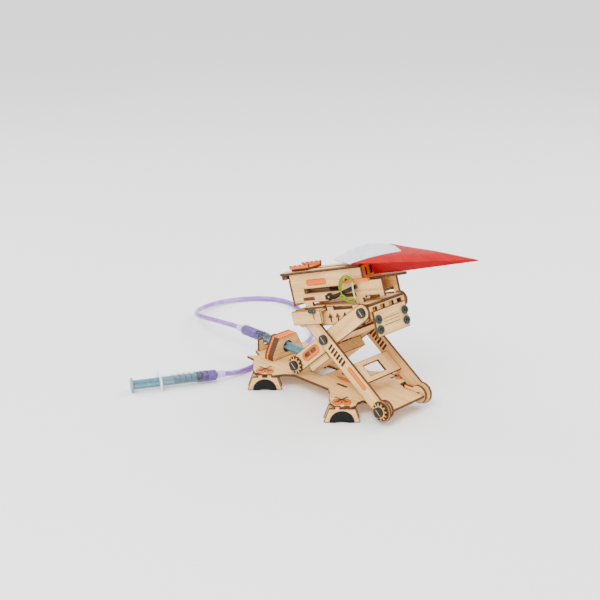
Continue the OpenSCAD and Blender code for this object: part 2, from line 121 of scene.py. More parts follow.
def add_studio():
    bpy.ops.mesh.primitive_plane_add(size=12, location=(0, 0, -0.0003))
    floor = bpy.context.object
    floor.name = "floor"
    material, tree, shader = new_material("floor_white")
    shader.inputs["Base Color"].default_value = (0.97, 0.97, 0.97, 1)
    shader.inputs["Roughness"].default_value = 0.8
    floor.data.materials.append(material)
    world = bpy.data.worlds.new("studio")
    world.use_nodes = True
    world.node_tree.nodes["Background"].inputs["Color"].default_value = (1, 1, 1, 1)
    world.node_tree.nodes["Background"].inputs["Strength"].default_value = 1.6
    bpy.context.scene.world = world
    add_area_light("key_light", (0.5, -1.1, 1.5), 1.0, 34)
    add_area_light("fill_light", (-1.3, -0.3, 1.0), 1.2, 10)
    add_area_light("rim_light", (0.2, 1.3, 1.3), 1.0, 16)


# ---- node helpers ----

def new_material(name):
    material = bpy.data.materials.new(name)
    material.use_nodes = True
    tree = material.node_tree
    return material, tree, tree.nodes["Principled BSDF"]


def board_coords(tree, turn, sizes):
    """Coordinates in a turned frame, in units of sizes, which are in metres."""
    coords = tree.nodes.new("ShaderNodeTexCoord")
    mapping = tree.nodes.new("ShaderNodeMapping")
    mapping.vector_type = "TEXTURE"
    mapping.inputs["Rotation"].default_value = turn
    mapping.inputs["Scale"].default_value = sizes
    tree.links.new(coords.outputs["Object"], mapping.inputs["Vector"])
    return mapping.outputs["Vector"]


def noise(tree, vector, detail=3, distortion=0.0):
    node = tree.nodes.new("ShaderNodeTexNoise")
    node.inputs["Scale"].default_value = 1.0
    node.inputs["Detail"].default_value = detail
    node.inputs["Distortion"].default_value = distortion
    tree.links.new(vector, node.inputs["Vector"])
    return node.outputs["Fac"]


def ramp(tree, value, *stops):
    node = tree.nodes.new("ShaderNodeValToRGB")
    while len(node.color_ramp.elements) < len(stops):
        node.color_ramp.elements.new(0.5)
    for element, (place, color) in zip(node.color_ramp.elements, stops):
        element.position = place
        element.color = (*color, 1)
    tree.links.new(value, node.inputs["Fac"])
    return node.outputs["Color"]


def mix(tree, amount, first, second, blend="MIX"):
    node = tree.nodes.new("ShaderNodeMix")
    node.data_type = "RGBA"
    node.blend_type = blend
    if isinstance(amount, float):
        node.inputs["Factor"].default_value = amount
    else:
        tree.links.new(amount, node.inputs["Factor"])
    tree.links.new(first, node.inputs[6])
    tree.links.new(second, node.inputs[7])
    return node.outputs[2]


def math_node(tree, operation, value, other=0.0):
    node = tree.nodes.new("ShaderNodeMath")
    node.operation = operation
    tree.links.new(value, node.inputs[0])
    node.inputs[1].default_value = other
    return node.outputs[0]


def roughen(tree, shader, value, low, high):
    """Roughness from low to high as value goes from 0 to 1."""
    node = tree.nodes.new("ShaderNodeMapRange")
    node.inputs["To Min"].default_value = low
    node.inputs["To Max"].default_value = high
    tree.links.new(value, node.inputs["Value"])
    tree.links.new(node.outputs["Result"], shader.inputs["Roughness"])


def bump(tree, shader, height, depth):
    """Bump of a depth in metres."""
    node = tree.nodes.new("ShaderNodeBump")
    node.inputs["Distance"].default_value = depth
    node.inputs["Strength"].default_value = 0.8
    tree.links.new(height, node.inputs["Height"])
    tree.links.new(node.outputs["Normal"], shader.inputs["Normal"])


# ---- wood ----

BIRCH = ((0.58, 0.30, 0.09), (0.79, 0.46, 0.16), (0.88, 0.55, 0.22))
ORANGE = ((0.56, 0.075, 0.002), (0.78, 0.13, 0.003), (0.86, 0.19, 0.006))
DARK = ((0.006, 0.003, 0.002), (0.014, 0.007, 0.004), (0.035, 0.018, 0.011))
# Dark brown of laser-singed wood; also used as painted shade on the shuttle block, in the arms' slots and between
# gear teeth.
SINGED_AND_SHADE = ((0.05, 0.02, 0.008), (0.10, 0.042, 0.018), (0.18, 0.08, 0.035))
WOOD = {}


def wood_face(name, turn, colors):
    """Rotary-cut veneer: long soft grain, cloudy tone and short dark flecks."""
    if name in WOOD:
        return WOOD[name]
    material, tree, shader = new_material(name)
    grain = noise(tree, board_coords(tree, turn, (0.055, 0.0022, 0.0022)), 5, 0.6)
    cloud = noise(tree, board_coords(tree, turn, (0.05, 0.02, 0.02)), 2)
    fleck = noise(tree, board_coords(tree, turn, (0.0035, 0.0004, 0.0004)), 2)
    low, middle, high = colors
    tone = ramp(tree, grain, (0.25, low), (0.45, middle), (0.62, high))
    shade = ramp(tree, cloud, (0.3, (0.86, 0.84, 0.82)), (0.7, (1, 1, 1)))
    marks = ramp(tree, fleck, (0.30, (0.72, 0.62, 0.52)), (0.42, (1, 1, 1)))
    color = mix(tree, 1.0, mix(tree, 1.0, tone, shade, "MULTIPLY"), marks, "MULTIPLY")
    tree.links.new(color, shader.inputs["Base Color"])
    shader.inputs["Specular IOR Level"].default_value = 0.15
    roughen(tree, shader, grain, 0.62, 0.48)
    bump(tree, shader, grain, 0.00012)
    WOOD[name] = material
    return material


def wood_edge(name, turn, across):
    """Laser-cut edge: three plies, singed dark brown, darkest in the cross ply."""
    if name in WOOD:
        return WOOD[name]
    material, tree, shader = new_material(name)
    split = tree.nodes.new("ShaderNodeSeparateXYZ")
    tree.links.new(board_coords(tree, turn, (BOARD / 3,) * 3), split.inputs[0])
    wave = math_node(tree, "SINE", math_node(tree, "MULTIPLY", split.outputs[across], math.pi))
    plies = math_node(tree, "ADD", math_node(tree, "MULTIPLY", wave, 0.5), 0.5)
    soot = noise(tree, board_coords(tree, turn, (0.004, 0.0006, 0.0006)), 4)
    ply_tone = ramp(tree, plies, (0.2, (0.040, 0.017, 0.008)), (0.8, (0.15, 0.065, 0.026)))
    soot_tone = ramp(tree, soot, (0.3, (0.5, 0.45, 0.4)), (0.65, (1.25, 1.2, 1.15)))
    tree.links.new(mix(tree, 1.0, ply_tone, soot_tone, "MULTIPLY"), shader.inputs["Base Color"])
    shader.inputs["Specular IOR Level"].default_value = 0.15
    roughen(tree, shader, soot, 0.75, 0.5)
    bump(tree, shader, soot, 0.0001)
    WOOD[name] = material
    return material


def thin_faces(mesh, widest=1.15 * BOARD):
    """Indices of the polygons of flat regions narrower than a board: its cut edges."""
    parent = list(range(len(mesh.polygons)))

    def root(i):
        while parent[i] != i:
            parent[i] = parent[parent[i]]
            i = parent[i]
        return i

    seen = {}
    for polygon in mesh.polygons:
        facing = tuple(round(c, 2) for c in polygon.normal)
        for v in polygon.vertices:
            key = (tuple(round(c * 1e5) for c in mesh.vertices[v].co), facing)
            if key in seen:
                parent[root(polygon.index)] = root(seen[key])
            else:
                seen[key] = polygon.index
    regions = {}
    for polygon in mesh.polygons:
        regions.setdefault(root(polygon.index), []).append(polygon)
    thin = set()
    for region in regions.values():
        if region_width(mesh, region) < widest:
            thin.update(polygon.index for polygon in region)
    return thin


def region_width(mesh, region):
    """Narrowest width of a flat region, measured square to its longest edges."""
    points = [mesh.vertices[v].co for polygon in region for v in polygon.vertices]
    edges = [mesh.vertices[b].co - mesh.vertices[a].co
             for polygon in region for a, b in polygon.edge_keys]
    edges = sorted(edges, key=lambda edge: -edge.length)[:8]
    widths = []
    for edge in edges:
        side = region[0].normal.cross(edge)
        if side.length > 1e-12:
            side.normalize()
            spread = [side.dot(point) for point in points]
            widths.append(max(spread) - min(spread))
    return min(widths, default=0)


def cut_faces(mesh, turn, across):
    """Indices of the polygons that run through a board's thickness: its cut edges."""
    through = Euler(turn).to_matrix().col[across]
    return {polygon.index for polygon in mesh.polygons
            if abs(polygon.normal.dot(through)) < 0.7}


def turned(about_y, yaw=0):
    """Euler angles of a board's frame: yaw within its plane, then a lean about Y."""
    lean = Matrix.Rotation(math.radians(about_y), 3, "Y")
    return tuple((lean @ Matrix.Rotation(math.radians(yaw), 3, "Z")).to_euler())


LEVEL = ("level", (0.0, 0.0, 0.0))
ACROSS = ("across", (0.0, 0.0, math.radians(90)))
FOOT_RIGHT = ("foot_right", (0.0, 0.0, math.radians(FOOT_TURN)))
FOOT_LEFT = ("foot_left", (0.0, 0.0, math.radians(-FOOT_TURN)))
ON_LONG = ("on_long", turned(LONG_LEAN))
ON_SHORT = ("on_short", turned(-SHORT_LEAN))
ALONG_DECK = ("along_deck", turned(-PITCH))
ACROSS_DECK = ("across_deck", turned(-PITCH, 90))


def body_of(node):
    """Name of the moving body that a node belongs to."""
    bodies = frame["record"]["behaviour"]["bodies"]
    return next(body for body, nodes in bodies.items() if node in nodes)


# Each board's grain frame, and which of that frame's axes runs through its thickness
BOARDS = {
    "base_plate": (LEVEL, "Z"),
    "foot_front_right": (FOOT_RIGHT, "Y"), "foot_rear_right": (FOOT_RIGHT, "Y"),
    "foot_front_left": (FOOT_LEFT, "Y"), "foot_rear_left": (FOOT_LEFT, "Y"),
    "clamp_boards": (ACROSS, "Y"), "barrel_cradle": (ACROSS, "Y"),
    "pivot_bracket_left": (LEVEL, "Y"), "pivot_bracket_right": (LEVEL, "Y"),
    "long_arm_left": (ON_LONG, "Y"), "long_arm_right": (ON_LONG, "Y"),
    "window_board": (ON_LONG, "Z"), "base_gears": (ON_LONG, "Y"),
    "short_arm_left": (ON_SHORT, "Y"), "short_arm_right": (ON_SHORT, "Y"),
    "short_arm_web": (ON_SHORT, "Z"), "cross_box": (ON_SHORT, "Z"),
    "shaft_gears": (ON_SHORT, "Y"), "push_roller": (LEVEL, "Y"),
    "deck_plate": (ALONG_DECK, "Z"),
    "side_plate_left": (ALONG_DECK, "Y"), "side_plate_right": (ALONG_DECK, "Y"),
    "end_board": (ACROSS_DECK, "Y"), "name_board": (ACROSS_DECK, "Y"),
    "slide_cover_left": (ALONG_DECK, "Y"), "slide_cover_right": (ALONG_DECK, "Y"),
    "launcher_side_left": (ALONG_DECK, "Y"), "launcher_side_right": (ALONG_DECK, "Y"),
    "launcher_lid": (ALONG_DECK, "Z"), "lid_rear_block": (ALONG_DECK, "Z"),
    "launcher_back": (ACROSS_DECK, "Y"),
    "launcher_floor": (ALONG_DECK, "Z"), "runway": (ALONG_DECK, "Z"),
    "elastic_post": (ALONG_DECK, "Y"),
}
PRINTED = {"front_frame": (ACROSS_DECK, "Y"), "shuttle_grips": (ALONG_DECK, "Y")}
# Nodes whose boards stand in more than one plane
MIXED = {"slide_cover_left", "slide_cover_right", "cross_box", "shuttle_grips"}
AXES = {"X": 0, "Y": 1, "Z": 2}


def paint_board(node, grain, across, colors=BIRCH, tone="birch"):
    name, turn = grain
    mesh = frame["nodes"][node].data
    mesh.materials.clear()
    mesh.materials.append(wood_face(f"{tone}_{name}", turn, colors))
    mesh.materials.append(wood_edge(f"edge_{name}_{across}", turn, AXES[across]))
    cut = thin_faces(mesh) if node in MIXED else cut_faces(mesh, turn, AXES[across])
    for polygon in mesh.polygons:
        polygon.material_index = 1 if polygon.index in cut else 0
    return cut


def paint_boards():
    rims = {}
    for node, (grain, across) in BOARDS.items():
        cut = paint_board(node, grain, across)
        rims.setdefault(body_of(node), []).append((node, cut))
    for node, (grain, across) in PRINTED.items():
        paint_board(node, grain, across, ORANGE, "orange")
    for body, boards in rims.items():
        add_rims(body, boards)
    paint_board("trigger_lever", ALONG_DECK, "Y", DARK, "dark")
    paint_clamp()
    # The shuttle block inside the launcher takes the dark singed tone all over: painted shade for the dark inside
    # of the launcher.
    paint_node("shuttle_block", wood_face("painted_shade_along_deck", ALONG_DECK[1], SINGED_AND_SHADE))
    paint_ledges()


def paint_ledges():
    """The runway's side ledges are printed orange."""
    mesh = frame["nodes"]["runway"].data
    mesh.materials.append(wood_face("orange_along_deck", ALONG_DECK[1], ORANGE))
    into_platform = PLATFORM.inverted()
    for polygon in mesh.polygons:
        middle = into_platform @ polygon.center
        if abs(middle.y) > 12.55:
            polygon.material_index = 2


def paint_clamp():
    """Orange tops on the clamp's front boards, over an orange middle board."""
    orange = wood_face("orange_across", ACROSS[1], ORANGE)
    paint_node("clamp_middle", orange)
    mesh = frame["nodes"]["clamp_boards"].data
    mesh.materials.append(orange)
    back = (DRAWN @ Vector((-119, 0, 0))).x
    for polygon in mesh.polygons:
        high = polygon.center.z > 40 * MM
        if high and polygon.normal.z > 0.9 and polygon.center.x > back:
            polygon.material_index = 2


# ---- the darker band that the laser leaves along every cut ----

RIM_WIDTH = 0.6 * MM


def rim_edges(mesh, cut):
    """Outline edges of the uncut faces: (start, end, normal, inward direction)."""
    owners = {}
    for polygon in mesh.polygons:
        if polygon.index in cut:
            continue
        facing = tuple(round(c, 2) for c in polygon.normal)
        corners = [mesh.vertices[v].co for v in polygon.vertices]
        for a, b in zip(corners, corners[1:] + corners[:1]):
            keys = sorted(tuple(round(c * 1e5) for c in point) for point in (a, b))
            owners.setdefault((keys[0], keys[1], facing), []).append((a, b, polygon.normal))
    edges = []
    for found in owners.values():
        a, b, normal = found[0]
        if len(found) == 1 and (b - a).length > 1e-6:
            edges.append((a, b, normal, normal.cross(b - a).normalized()))
    return edges


def add_rims(body, boards):
    """Thin closed bands just inside the outline of every board face of one body."""
    points, faces = [], []
    for node, cut in boards:
        edges = rim_edges(frame["nodes"][node].data, cut)
        inwards = {}
        for a, b, normal, inward in edges:
            facing = tuple(round(c, 2) for c in normal)
            for point in (a, b):
                key = (tuple(round(c * 1e5) for c in point), facing)
                inwards.setdefault(key, []).append(inward)
        for a, b, normal, inward in edges:
            facing = tuple(round(c, 2) for c in normal)
            base = len(points)
            for point in (a, b):
                key = (tuple(round(c * 1e5) for c in point), facing)
                middle = sum(inwards[key], Vector())
                stretch = max(0.6, middle.dot(inward))
                inner = point + middle * RIM_WIDTH / stretch
                for place in (point, inner):
                    points += [place + normal * 0.01 * MM, place + normal * 0.05 * MM]
            for i, j in ((0, 2), (2, 3), (3, 1), (1, 0)):
                faces.append((base + i, base + j, base + j + 4, base + i + 4))
    add_piece(f"singed_rims_{body}", points, faces, wood_face("singed_and_shade_level", LEVEL[1], SINGED_AND_SHADE),
              body, smooth=False)


# ---- metal, rubber, plastic, liquid and paper ----

def dark_metal():
    material, tree, shader = new_material("dark_bronze")
    patches = noise(tree, board_coords(tree, (0, 0, 0), (0.0015,) * 3), 4)
    tone = ramp(tree, patches, (0.3, (0.012, 0.008, 0.006)), (0.7, (0.045, 0.032, 0.022)))
    tree.links.new(tone, shader.inputs["Base Color"])
    shader.inputs["Metallic"].default_value = 0.15
    shader.inputs["Specular IOR Level"].default_value = 0.2
    roughen(tree, shader, patches, 0.55, 0.3)
    bump(tree, shader, patches, 0.00008)
    return material


def soft_rubber(name, low, high, grain=0.0006):
    material, tree, shader = new_material(name)
    specks = noise(tree, board_coords(tree, (0, 0, 0), (grain,) * 3), 3)
    tree.links.new(ramp(tree, specks, (0.3, low), (0.7, high)), shader.inputs["Base Color"])
    shader.inputs["Specular IOR Level"].default_value = 0.15
    roughen(tree, shader, specks, 0.65, 0.42)
    bump(tree, shader, specks, 0.00006)
    return material


def moulded(name, low, high, roughness=0.35, alpha=1.0, coat=0.3, shine=0.5):
    """Glossy moulded plastic with faint flow marks; alpha below 1 makes it clear."""
    material, tree, shader = new_material(name)
    flow = noise(tree, board_coords(tree, (0, 0, 0), (0.009, 0.003, 0.003)), 3, 0.4)
    tree.links.new(ramp(tree, flow, (0.3, low), (0.7, high)), shader.inputs["Base Color"])
    shader.inputs["Alpha"].default_value = alpha
    shader.inputs["Specular IOR Level"].default_value = shine
    shader.inputs["Coat Weight"].default_value = coat
    shader.inputs["Coat Roughness"].default_value = 0.12
    roughen(tree, shader, flow, roughness + 0.06, roughness - 0.06)
    bump(tree, shader, flow, 0.00003)
    return material


def paper(name, low, high):
    """Folded coated paper: fine fibres and faint soft creases."""
    material, tree, shader = new_material(name)
    fibre = noise(tree, board_coords(tree, (0, 0, 0), (0.0012, 0.0005, 0.0005)), 4)
    crease = noise(tree, board_coords(tree, (0, 0.31, 0), (0.05, 0.012, 0.004)), 2, 1.2)
    tone = ramp(tree, crease, (0.3, low), (0.68, high))
    speck = ramp(tree, fibre, (0.25, (0.94, 0.94, 0.94)), (0.6, (1, 1, 1)))
    tree.links.new(mix(tree, 1.0, tone, speck, "MULTIPLY"), shader.inputs["Base Color"])
    shader.inputs["Specular IOR Level"].default_value = 0.12
    roughen(tree, shader, fibre, 0.5, 0.38)
    bump(tree, shader, crease, 0.0003)
    return material


def paint_node(node, material):
    mesh = frame["nodes"][node].data
    mesh.materials.clear()
    mesh.materials.append(material)


# ---- mesh helpers ----

def add_piece(name, points, faces, material, body, place=None, smooth=True):
    """A mesh piece from points in the frame place, riding on a body."""
    mesh = bpy.data.meshes.new(name)
    if place is not None:
        points = [place @ Vector(point) for point in points]
    mesh.from_pydata([tuple(point) for point in points], [], faces)
    mesh.validate()
    mesh.materials.append(material)
    for polygon in mesh.polygons:
        polygon.use_smooth = smooth
    piece = bpy.data.objects.new(name, mesh)
    bpy.context.scene.collection.objects.link(piece)
    face_outwards(mesh)
    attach(piece, body)
    return piece


def face_outwards(mesh):
    shape = bmesh.new()
    shape.from_mesh(mesh)
    bmesh.ops.remove_doubles(shape, verts=shape.verts, dist=1e-7)
    bmesh.ops.recalc_face_normals(shape, faces=shape.faces)
    shape.to_mesh(mesh)
    shape.free()


def lathe(name, outline, place, material, body, steps=56):
    """A closed outline of (x, radius) turned about the frame's X axis."""
    points = []
    for step in range(steps):
        turn = 2 * math.pi * step / steps
        points += [(x, r * math.cos(turn), r * math.sin(turn)) for x, r in outline]
    count = len(outline)
    faces = []
    for step in range(steps):
        a, b = step * count, (step + 1) % steps * count
        faces += [(a + i, a + (i + 1) % count, b + (i + 1) % count, b + i) for i in range(count)]
    piece = add_piece(name, points, faces, material, body, place)
    crease_shading(piece, 35)
    return piece


def crease_shading(piece, degrees):
    """Smooth shading, kept sharp where faces meet at more than this angle."""
    piece.data.set_sharp_from_angle(angle=math.radians(degrees))


def sweep(points, radius, sides=12, closed=False):
    """Points and faces of a round tube along a line."""
    rings = []
    count = len(points)
    up = Vector((0, 0, 1))
    for i, point in enumerate(points):
        ahead = points[(i + 1) % count] if closed or i < count - 1 else point
        behind = points[i - 1] if closed or i > 0 else point
        along = (ahead - behind).normalized()
        side = (up - along * up.dot(along))
        if side.length < 0.2:
            side = Vector((0, 1, 0)) - along * along.y
        side.normalize()
        up = side
        other = along.cross(side)
        ring = []
        for k in range(sides):
            turn = 2 * math.pi * k / sides
            ring.append(point + radius * (math.cos(turn) * side + math.sin(turn) * other))
        rings.append(ring)
    faces = []
    for i in range(count if closed else count - 1):
        j = (i + 1) % count
        faces += [(i * sides + k, i * sides + (k + 1) % sides,
                   j * sides + (k + 1) % sides, j * sides + k) for k in range(sides)]
    if not closed:
        faces += [tuple(range(sides)), tuple((count - 1) * sides + k for k in range(sides))]
    return [point for ring in rings for point in ring], faces


def spline(points, closed=False, steps=6):
    """Smooth line through the points, each stretch divided into steps."""
    points = [Vector(point) for point in points]
    count = len(points)
    line = []
    for i in range(count if closed else count - 1):
        def at(k):
            return points[(i + k) % count] if closed else points[max(0, min(count - 1, i + k))]
        a, b, c, d = at(-1), at(0), at(1), at(2)
        for step in range(steps):
            f = step / steps
            line.append(0.5 * (2 * b + (c - a) * f + (2 * a - 5 * b + 4 * c - d) * f * f
                               + (3 * b - a - 3 * c + d) * f ** 3))
    if not closed:
        line.append(points[-1])
    return line


# ---- the tube between the syringes ----

TUBE_ROUTE = [
    (-189, 0, 30.3), (-202, 0, 30.2), (-218, 0, 29), (-241, 3, 26), (-266, 9, 21),
    (-288, 17, 16.5), (-303, 28, 13), (-314, 43, 10), (-323, 66, 7), (-327, 90, 4.5),
    (-323, 112, 3.2), (-313, 129, 3), (-300, 143, 3), (-283, 153, 3), (-262, 155, 3),
    (-238, 147, 3), (-213, 132, 3), (-190, 116, 3), (-170, 102, 3), (-157, 88, 3),
    (-149, 72, 3), (-145, 50, 3), (-143, 25, 3), (-142, 0, 3), (-141, -20, 3),
    (-139, -36, 3.2), (-138, -48, 4.2), (-137.5, -58, 5.8), (-138.5, -66, 7.3),
    (-140.7, -72.7, 8)]
TUBE_RADIUS = 3 * MM


def tube_material():
    """Clear tube full of purple liquid: milky lilac, darker where more liquid shows."""
    material, tree, shader = new_material("filled_tube")
    patches = noise(tree, board_coords(tree, (0, 0, 0), (0.035, 0.035, 0.02)), 2)
    tone = ramp(tree, patches, (0.32, (0.17, 0.025, 0.40)), (0.50, (0.33, 0.13, 0.60)),
                (0.68, (0.54, 0.36, 0.80)))
    tree.links.new(tone, shader.inputs["Base Color"])
    shader.inputs["Transmission Weight"].default_value = 0.25
    shader.inputs["Subsurface Weight"].default_value = 0.3
    shader.inputs["Subsurface Radius"].default_value = (0.004, 0.003, 0.006)
    shader.inputs["Coat Weight"].default_value = 0.6
    shader.inputs["Coat Roughness"].default_value = 0.08
    roughen(tree, shader, patches, 0.3, 0.18)
    return material


def add_tube():
    line = [DRAWN @ point for point in spline(TUBE_ROUTE)]
    points, faces = sweep(line, TUBE_RADIUS, 16)
    tube = add_piece("liquid_tube", points, faces, tube_material(), "base")
    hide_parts("fluid_tube")
    length = sum((b - a).length for a, b in zip(line, line[1:]))
    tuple(line[0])


# ---- syringes ----

BARREL_L = 64.5
BARREL_R = 7
BORE_R = 6.1


def add_barrel(side, place, material):
    """Clear barrel with a rounded shoulder, a stepped nozzle and an end bead."""
    outline = [(-6, 1.0), (-6, 1.9), (-5.5, 2.1), (-0.9, 2.2), (-0.3, 3.2), (0, 5.4),
               (0.4, 6.4), (1.2, BARREL_R), (BARREL_L - 4, BARREL_R), (BARREL_L - 3, 7.3),
               (BARREL_L - 1.4, 7.3), (BARREL_L, BARREL_R), (BARREL_L, BORE_R),
               (1.8, BORE_R), (1.0, 5.2), (0.8, 1.0)]
    barrel = lathe(f"{side}_syringe_barrel", outline, place, material, "base")
    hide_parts(f"{side}_barrel")


def add_flange(side, place, material, steps=72):
    """Finger flange: a flattened ring with two wings."""
    def reach(turn):
        across, up = abs(math.cos(turn)), abs(math.sin(turn))
        return min(13.5, 7.9 / max(up, 1e-6), 13.4 / max(across, 1e-6))
    rows = []
    for x, inset, inner in ((BARREL_L, 0.3, BORE_R), (BARREL_L + 0.4, 0, BORE_R),
                            (BARREL_L + 1.6, 0, BORE_R), (BARREL_L + 2, 0.3, BORE_R)):
        rows.append([(x, (reach(t) - inset) * math.cos(t), (reach(t) - inset) * math.sin(t))
                     for t in (2 * math.pi * k / steps for k in range(steps))])
    for x in (BARREL_L + 2, BARREL_L):
        rows.append([(x, BORE_R * math.cos(t), BORE_R * math.sin(t))
                     for t in (2 * math.pi * k / steps for k in range(steps))])
    faces = []
    for row in range(len(rows)):
        a, b = row * steps, (row + 1) % len(rows) * steps
        faces += [(a + k, a + (k + 1) % steps, b + (k + 1) % steps, b + k) for k in range(steps)]
    flange = add_piece(f"{side}_syringe_flange", [p for row in rows for p in row], faces,
                       material, "base", place)
    crease_shading(flange, 35)


def add_scale(side, place, material, facing, first, last):
    """Graduation lines printed around the barrel, long ones every fifth, and a side line."""
    points, faces = [], []

    def band(x0, x1, start, sweep_deg, steps=10):
        base = len(points)
        for step in range(steps + 1):
            turn = math.radians(start + sweep_deg * step / steps)
            for x, r in ((x0, 7.02), (x1, 7.02), (x1, 7.08), (x0, 7.08)):
                points.append((x, r * math.cos(turn), r * math.sin(turn)))
        for step in range(steps):
            a, b = base + 4 * step, base + 4 * step + 4
            faces.extend((a + i, a + (i + 1) % 4, b + (i + 1) % 4, b + i) for i in range(4))
        faces.append(tuple(base + i for i in range(4)))
        faces.append(tuple(base + 4 * steps + i for i in range(4)))

    count = int((last - first) / 1.25)
    for i in range(count + 1):
        x = first + 1.25 * i
        long_line = i % 5 == 0
        band(x, x + (0.6 if long_line else 0.42), facing - 35, 78 if long_line else 42)
        if long_line:
            band(x + 1.2, x + 2.9, facing + 48, 13, 4)
    band(first, last, facing + 66, 4, 2)
    add_piece(f"{side}_syringe_scale", points, faces, material, "base", place,
              smooth=False)


def add_liquid(side, place, material, fill):
    """Liquid column from the barrel's end to the piston."""
    rows = [(0.5, 1.0), (0.9, 4.6), (1.5, 5.8), (2.2, 6.04)]
    rows += [(2.2 + (fill - 2.4) * k / 12, 6.04) for k in range(1, 13)]
    outline = [(rows[0][0], 0.01)] + rows + [(rows[-1][0], 0.01)]
    column = lathe(f"{side}_liquid", outline, place, material, "base")
    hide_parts(f"{side}_fluid")
    column.parent = None
    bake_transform(column)


def add_cap(side, place, material):
    """Snug coloured sleeve over the barrel's liquid end, where the tube pushes on."""
    outline = [(-9, 3.05), (-9, 3.7), (-8.4, 4.0), (-3.2, 4.1), (-0.35, 4.4), (-0.35, 2.3),
               (-5.9, 2.25), (-5.9, 3.05)]
    lathe(f"{side}_tube_collar", outline, place, material, "base")


def add_syringes():
    clear = moulded("clear_barrel", (0.36, 0.42, 0.50), (0.52, 0.58, 0.66), 0.14,
                     alpha=0.08, coat=0, shine=0.3)
    milky = moulded("milky_flange", (0.74, 0.78, 0.82), (0.88, 0.90, 0.93), 0.25,
                     alpha=0.8)
    ink = soft_rubber("scale_ink", (0.012, 0.012, 0.015), (0.05, 0.05, 0.06))
    purple = moulded("purple_liquid", (0.055, 0.001, 0.17), (0.10, 0.003, 0.27), 0.3, coat=0,
                      shine=0.1)
    lilac = moulded("lilac_sleeve", (0.44, 0.34, 0.72), (0.60, 0.50, 0.84), 0.3)
    teal = moulded("teal_plastic", (0.08, 0.20, 0.26), (0.17, 0.31, 0.37), 0.38, coat=0.1,
                    shine=0.3)
    black = soft_rubber("piston_rubber", (0.01, 0.01, 0.012), (0.04, 0.04, 0.045))
    for side, place, fill, facing, reach in (("ram", RAM, 32, 140, 59), ("hand", HAND, 17.5, 25, 50)):
        add_barrel(side, place, clear)
        add_flange(side, place, milky)
        add_scale(side, place, ink, facing, fill - 6, reach)
        add_liquid(side, place, purple, fill)
        add_cap(side, place, lilac)
        paint_node(f"{side}_plunger", teal)
        paint_node(f"{side}_piston", black)


# ---- paper plane: red paper, white inside ----

def line_at(stops, s):
    """Point on a line given as (s, point) stops."""
    for (s0, a), (s1, b) in zip(stops, stops[1:]):
        if s <= s1:
            return Vector(a).lerp(Vector(b), (s - s0) / (s1 - s0))
    return Vector(stops[-1][1])


NOSE = (138, 0, 35.5)
SPINE = [(0, (-54, 0, 54.2)), (0.2, (-30, 0, 51)), (0.4, (43.5, 0, 53.4)), (0.7, (92, 0, 46.8)),
         (1, NOSE)]
FAR_EDGE = [(0, (-54, 0.4, 54.2)), (0.06, (-51, 7, 57)), (0.12, (-43, 14, 60)),
            (0.2, (-29, 30, 62.3)), (0.4, (0.4, 30, 59.3)), (1, NOSE)]
NEAR_EDGE = [(0, (-54, -0.4, 54.2)), (0.06, (-41, -8, 52.4)), (0.12, (-26, -16, 52)),
             (0.2, (-14, -24, 51.6)), (0.4, (-2, -30, 51)), (1, NOSE)]


def add_sheet_of_paper(name, point_at, rows, columns, thickness, material):
    """A thin paper panel: point_at(s, t) over the unit square, given a thickness."""
    top = [[point_at(i / rows, j / columns) for j in range(columns + 1)] for i in range(rows + 1)]
    points, faces = [], []
    width = columns + 1
    for layer in (0, 1):
        for i in range(rows + 1):
            for j in range(columns + 1):
                ahead = top[min(i + 1, rows)][j] - top[max(i - 1, 0)][j]
                aside = top[i][min(j + 1, columns)] - top[i][max(j - 1, 0)]
                normal = ahead.cross(aside)
                normal = normal.normalized() if normal.length > 1e-9 else Vector((0, 0, 1))
                points.append(top[i][j] + normal * thickness * (layer - 0.5))
    size = (rows + 1) * width
    for i in range(rows):
        for j in range(columns):
            a, b = i * width + j, (i + 1) * width + j
            faces += [(a, a + 1, b + 1, b), (size + a, size + b, size + b + 1, size + a + 1)]
    rim = ([i * width for i in range(rows + 1)] + [rows * width + j for j in range(1, width)]
           + [i * width + columns for i in range(rows - 1, -1, -1)]
           + [j for j in range(columns - 1, 0, -1)])
    for a, b in zip(rim, rim[1:] + rim[:1]):
        faces.append((a, b, size + b, size + a))
    piece = add_piece(name, points, faces, material, "plane", PLATFORM)
    crease_shading(piece, 40)
    return piece


def wing_point(edge, lift):
    """Wing surface between the spine and an edge, a little crowned, raised by lift."""
    def point_at(s, t):
        root, rim = line_at(SPINE, s), line_at(edge, s)
        point = root.lerp(rim, t)
        crown = 1.4 * math.sin(math.pi * t) * math.sin(math.pi * min(1, s))
        return point + Vector((0, 0, lift + crown))
    return point_at


def part_of(point_at, first, last):
    """The same surface, cut to the stretch from first to last."""
    return lambda s, t: point_at(first + (last - first) * s, t)


def keel_side(sign):
    """One side of the body below the spine, bulging as the folds spring open."""
    top = [(0, (-38, 0, 50.6)), (0.25, (0, 0, 52.2)), (0.45, (43.5, 0, 53.2)),
           (0.75, (92, 0, 46.6)), (1, NOSE)]
    low = [(0, (-36, 0, 48.3)), (0.2, (-4.2, 0, 48.3)), (0.21, (-3.4, 0, 34.1)),
           (0.45, (46.8, 0, 33.9)), (1, NOSE)]

    def point_at(s, t):
        point = line_at(low, s).lerp(line_at(top, s), t)
        open_by = 0.45 + 2.6 * t ** 1.5 * math.sin(math.pi * min(1, s * 0.9 + 0.1)) ** 0.8
        return point + Vector((0, sign * open_by * (1 - s ** 6), 0))
    return point_at


